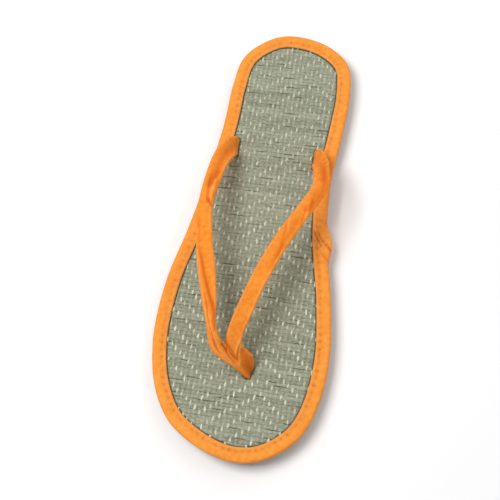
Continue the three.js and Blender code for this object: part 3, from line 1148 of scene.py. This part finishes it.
# %% Creases of the bands
Crease = namedtuple("Crease", "depth width path")
OUTER_CREASES = (
    Crease(0.32, 0.7, ((1, -4.8), (10, -4.3), (20, -4.4), (28, -4.4), (37, -4.2))),
    Crease(-0.55, 2.4, ((3, -0.6), (16, -0.6), (28, -0.7), (38, -0.4), (47, 0.4))),
    Crease(-0.35, 1.4, ((29, -2.6), (35, -1.4), (40, -0.6), (45, 0.5))),
    Crease(-0.5, 0.8, ((34, 1.4), (41, 0.7), (46, 0.3), (52, -0.5), (57, -1.2))),
    Crease(0.45, 1.1, ((36, -1.6), (42, -1.8), (48, -2.1), (54, -2.4))),
    Crease(-0.5, 0.6, ((37, -3.7), (46, -3.8), (53, -3.5))),
    Crease(-0.85, 0.65, ((51, -0.8), (55, -2.2), (58, -4.6))),
    Crease(0.25, 0.8, ((56, -3.4), (64, -3.7), (76, -4.2))),
    Crease(-0.25, 0.8, ((62, 3.0), (72, 2.4), (80, 2.9))),
    Crease(-0.68, 0.75, ((75, 3.7), (88, 2.0), (98, 1.1), (105, 0.2), (110, -0.9), (115, -2.3),
                         (121, -4.4))),
    Crease(-0.32, 1.5, ((94, 0.2), (106, -0.9), (113, -1.9), (118, -3.2), (124, -4.8))),
    Crease(0.42, 0.85, ((78, 4.4), (92, 3.6), (104, 3.3), (114, 2.9), (121, 1.8), (126, 0.8), (131, 0.9))),
    Crease(-0.72, 0.55, ((104, 2.2), (112, 1.7), (118, 1.0), (122, 0.1), (126, -1.0), (131, -0.7),
                         (137, 0.7), (143, 2.1))),
    Crease(0.55, 0.65, ((112, 0.9), (117, 0.1), (121, -1.1), (124, -2.2), (128, -2.7), (132, -2.3),
                        (135, -1.7), (138, -0.4), (143.5, 1.3), (149, 2.4), (156, 3.2))),
    Crease(-0.85, 0.8, ((110, -2.9), (118, -4.0), (123, -4.3), (130, -4.0))),
    Crease(0.3, 0.6, ((128, 2.0), (136, 1.7), (142, 2.6), (148, 3.5), (156, 4.0))),
    Crease(-1.05, 0.7, ((133, -4.6), (138, -3.0), (141.5, -2.1), (145, -0.8), (148, 0.4), (153, 1.9))),
    Crease(0.5, 0.45, ((138.5, -4.3), (142, -3.3), (145.6, -2.0), (149, -0.6), (154, 1.0))),
    Crease(-0.85, 0.6, ((142.5, -4.4), (146, -3.2), (149.5, -1.6), (154, -0.2))),
)
INNER_CREASES = (
    Crease(0.3, 0.7, ((0, 4.2), (12, 3.6), (24, 3.8))),
    Crease(-0.3, 2.2, ((4, 0.0), (14, 0.0), (24, -0.4), (34, -0.4))),
    Crease(-0.5, 0.45, ((6.0, -5.6), (7.4, -4.2), (8.4, -2.6))),
    Crease(-0.5, 0.45, ((9.8, -5.4), (10.8, -4.1), (11.8, -2.8))),
    Crease(-0.6, 0.45, ((12.8, -5.2), (14.0, -3.9), (15.0, -2.6))),
    Crease(-0.5, 0.45, ((16.2, -5.0), (17.3, -3.9), (18.2, -2.8))),
    Crease(-0.6, 2.0, ((12, -1.6), (24, -1.9), (34, -2.3), (44, -2.7), (56, -3.2))),
    Crease(-0.35, 1.3, ((36, 0.6), (46, -0.5), (54, -2.0))),
    Crease(0.32, 0.8, ((22, 3.7), (36, 3.5), (50, 3.2), (62, 3.2))),
    Crease(-0.35, 0.6, ((43, -0.4), (50, -2.8), (54, -4.5))),
    Crease(0.3, 0.6, ((45, 0.6), (53, -2.4), (58.5, -4.4))),
    Crease(-0.35, 0.6, ((49, 0.4), (57, -2.5), (62.5, -4.3))),
    Crease(0.35, 0.8, ((59.5, 4.6), (64, 2.2), (70, -1.2))),
    Crease(-0.3, 0.8, ((62.5, 4.5), (68, 1.4), (76, -1.4), (87, -3.9))),
    Crease(-0.45, 1.8, ((56, -0.4), (66, -1.6), (78, -2.2), (94, -2.6))),
    Crease(0.2, 0.8, ((70, 3.9), (95, 3.8), (132, 3.8))),
    Crease(0.32, 0.7, ((66, -3.9), (100, -3.8), (133, -3.8))),
    Crease(-0.8, 0.65, ((131.5, 5.6), (134.5, 4.4), (137.5, 3.2), (140, 2.5), (142.5, 2.4), (146, 3.8))),
    Crease(-0.6, 1.5, ((132, 5.2), (136, 4.0), (139.5, 2.7), (143.5, 2.4), (147, 4.6))),
    Crease(0.45, 0.4, ((136, 5.4), (138.4, 4.2), (141, 3.7), (144.5, 3.9), (149, 5.4))),
    Crease(0.68, 0.85, ((150, 5.4), (145.3, 3.5), (141.3, 0.9), (139.6, -0.7), (137, -2.1),
                        (134, -3.3), (129.5, -4.6))),
    Crease(-0.65, 0.55, ((148, 4.4), (144.2, 2.1), (142.6, 0.7), (141.1, -0.7), (138.8, -2.1),
                         (134.5, -3.8))),
    Crease(0.55, 0.75, ((152, 5.2), (146.4, 2.7), (142.6, -0.4), (141.2, -1.7), (138.3, -3.0),
                        (133.5, -4.5))),
    Crease(-0.65, 2.3, ((139, -4.2), (144.5, -1.9), (150, -0.7), (157, -0.4), (164, -0.4))),
    Crease(-0.35, 1.8, ((145.5, 2.0), (151, 2.2), (157, 1.8), (164, 1.8))),
)
CREASE_REACH = 3
CREASE_FADE = 0.2


def crease_shape(crease, run, side):
    """How strongly a crease is felt at a point of the band, from 0 to 1 on its line."""
    spot = Vector((run, side))
    nearest = CREASE_REACH * crease.width
    fade = 0.0
    for index, (here, after) in enumerate(zip(crease.path, crease.path[1:])):
        step = Vector(after) - Vector(here)
        share = min(1.0, max(0.0, (spot - Vector(here)).dot(step) / step.length_squared))
        gap = (spot - Vector(here) - share * step).length
        if gap < nearest:
            nearest = gap
            place = (index + share) / (len(crease.path) - 1)
            fade = step_up(place, 0.0, CREASE_FADE) * (1 - step_up(place, 1 - CREASE_FADE, 1.0))
    return fade * math.exp(-((nearest / crease.width) ** 2))


def crease_relief(creases, run, side):
    """The height that all creases together give a point of the band's upper face."""
    total = 0.0
    for crease in creases:
        reach = CREASE_REACH * crease.width
        first, last = sorted((crease.path[0][0], crease.path[-1][0]))
        if first - reach < run < last + reach:
            total += crease.depth * crease_shape(crease, run, side)
    return total


deepest = min(crease_relief(OUTER_CREASES, run, 0.5) for run in range(round(outer_stations[-1].run)))
print("deepest point beside the outer band's middle", round(deepest, 2), "mm")

# %% [markdown]
# A band's section is a flat oval with full, rolled edges and a shallow dip along its middle. Towards the
# toe post the core is pushed together and the section grows rounder.

# %% Cloth of the two bands
BAND_SIDES = 112
FLAT_SQUARENESS = 5.0
POST_SQUARENESS = 3.0
POST_START = 126
POST_FULL = 146
EDGE_ROLL = 0.16
ROLL_PLACE = 0.8
ROLL_WIDTH = 0.14
MIDDLE_DIP = 0.2
DIP_WIDTH = 0.5
BAND_WANDER = 0.14
WIDTH_WANDER = 0.03
CREASE_SHADE_TINT = 1.25
RIDGE_HIGHLIGHT = 1.1
EDGE_HIGHLIGHT = 0.2
EDGE_HIGHLIGHT_START = 0.8
EDGE_HIGHLIGHT_FULL = 0.98
EDGE_HIGHLIGHT_RUN = (124, 134)


def add_band(stations, creases, seed):
    """One band as a closed tube with its creases."""
    shape = new_shape("fold", "paleness_and_highlight")

    def put(row, column):
        station = stations[row]
        turn = 2 * math.pi * column / BAND_SIDES - math.pi / 2
        share = math.cos(turn)
        rounder = step_up(station.run, POST_START, POST_FULL)
        squareness = FLAT_SQUARENESS + (POST_SQUARENESS - FLAT_SQUARENESS) * rounder
        level = math.copysign(math.sqrt(max(0.0, 1 - abs(share) ** squareness)), math.sin(turn))
        wander = BAND_WANDER * drift(station.run * 0.09, share * 0.8, seed)
        half = station.half_width * (1 + WIDTH_WANDER * drift(station.run * 0.07, 5.0, seed))
        side = share * half
        roll = EDGE_ROLL * math.exp(-(((abs(share) - ROLL_PLACE) / ROLL_WIDTH) ** 2))
        dip = MIDDLE_DIP * math.exp(-((share / DIP_WIDTH) ** 2))
        crease = crease_relief(creases, station.run, side) if level > 0 else 0.0
        height = level * (BAND_THICKNESS / 2 + roll - dip + wander + crease)
        place = station.middle + station.across * side + station.up * height
        # Painted shade in the troughs, and painted highlight on the ridges and, outside the V, on the
        # edges.
        fold = min(1.0, max(0.0, -CREASE_SHADE_TINT * crease))
        edge = EDGE_HIGHLIGHT * step_up(abs(share), EDGE_HIGHLIGHT_START, EDGE_HIGHLIGHT_FULL)
        edge *= 1 - step_up(station.run, *EDGE_HIGHLIGHT_RUN)
        return place, {"fold": fold, "paleness_and_highlight": min(1.0, max(0.0, RIDGE_HIGHLIGHT * crease) + edge)}

    rolled_grid(shape, BAND_STEPS, BAND_SIDES, put)
    cap_ends(shape)
    return shape


STRAP_PALE = paint(249, 156, 55)
STRAP_DEEP = paint(228, 121, 27)
BAND_THREAD = 0.5
BAND_GIRTH = 21.0
strap_cloth = canvas_finish(
    "strap canvas",
    STRAP_PALE,
    STRAP_DEEP,
    round(BAND_GIRTH / BAND_THREAD),
    round(outer_stations[-1].run / BAND_THREAD),
)
outer_shape = add_band(outer_stations, OUTER_CREASES, 1.0)
inner_shape = add_band(inner_stations, INNER_CREASES, 4.0)
cloth_strap = add_piece("cloth_strap", outer_shape, strap_cloth)
inner_half = add_piece("inner_half", inner_shape, strap_cloth)

# %% [markdown]
# The two bands are sewn to each other in the V, so they become one piece. A Boolean union joins them and
# removes the walls inside, and its result replaces the first band's mesh. Along its line it leaves
# slivers and faces with many corners, which are merged and split. It also gives the second band the first
# one's numbers, so each point takes them again from the nearest point of the two bands.

# %% Join the bands
join = cloth_strap.modifiers.new("join", "BOOLEAN")
join.operation = "UNION"
join.solver = "EXACT"
join.object = inner_half
joined = cloth_strap.evaluated_get(bpy.context.evaluated_depsgraph_get())
joined_mesh = bpy.data.meshes.new_from_object(joined)
SLIVER = 2e-5


def clean_seam(mesh):
    """Merges the slivers along a union's line and splits the faces there from their middles."""
    shape = bmesh.new()
    shape.from_mesh(mesh)
    bmesh.ops.remove_doubles(shape, verts=shape.verts, dist=SLIVER)
    bmesh.ops.dissolve_degenerate(shape, edges=shape.edges, dist=SLIVER)
    on_line = {vertex for face in shape.faces if len(face.verts) > 4 for vertex in face.verts}
    line_faces = [face for face in shape.faces if not on_line.isdisjoint(face.verts)]
    bmesh.ops.poke(shape, faces=line_faces)
    crowded = sum(not edge.is_manifold for edge in shape.edges)
    shape.to_mesh(mesh)
    shape.free()
    print(len(line_faces), "faces on the line,", crowded, "edges left without exactly two faces")


def copy_numbers(target, sources, names):
    """Gives each point of a mesh the numbers of the nearest point of the source meshes."""
    tree = KDTree(sum(len(mesh.vertices) for mesh in sources))
    found = []
    for mesh in sources:
        for vertex in mesh.vertices:
            tree.insert(vertex.co, len(found))
            found.append([mesh.attributes[name].data[vertex.index].value for name in names])
    tree.balance()
    for vertex in target.vertices:
        nearest = found[tree.find(vertex.co)[1]]
        for name, value in zip(names, nearest):
            target.attributes[name].data[vertex.index].value = value


clean_seam(joined_mesh)
copy_numbers(joined_mesh, (cloth_strap.data, inner_half.data), ("fold", "paleness_and_highlight"))
cloth_strap.modifiers.clear()
cloth_strap.data = joined_mesh
bpy.data.objects.remove(inner_half)
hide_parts("strap")
print("strap", len(joined_mesh.polygons), "faces")
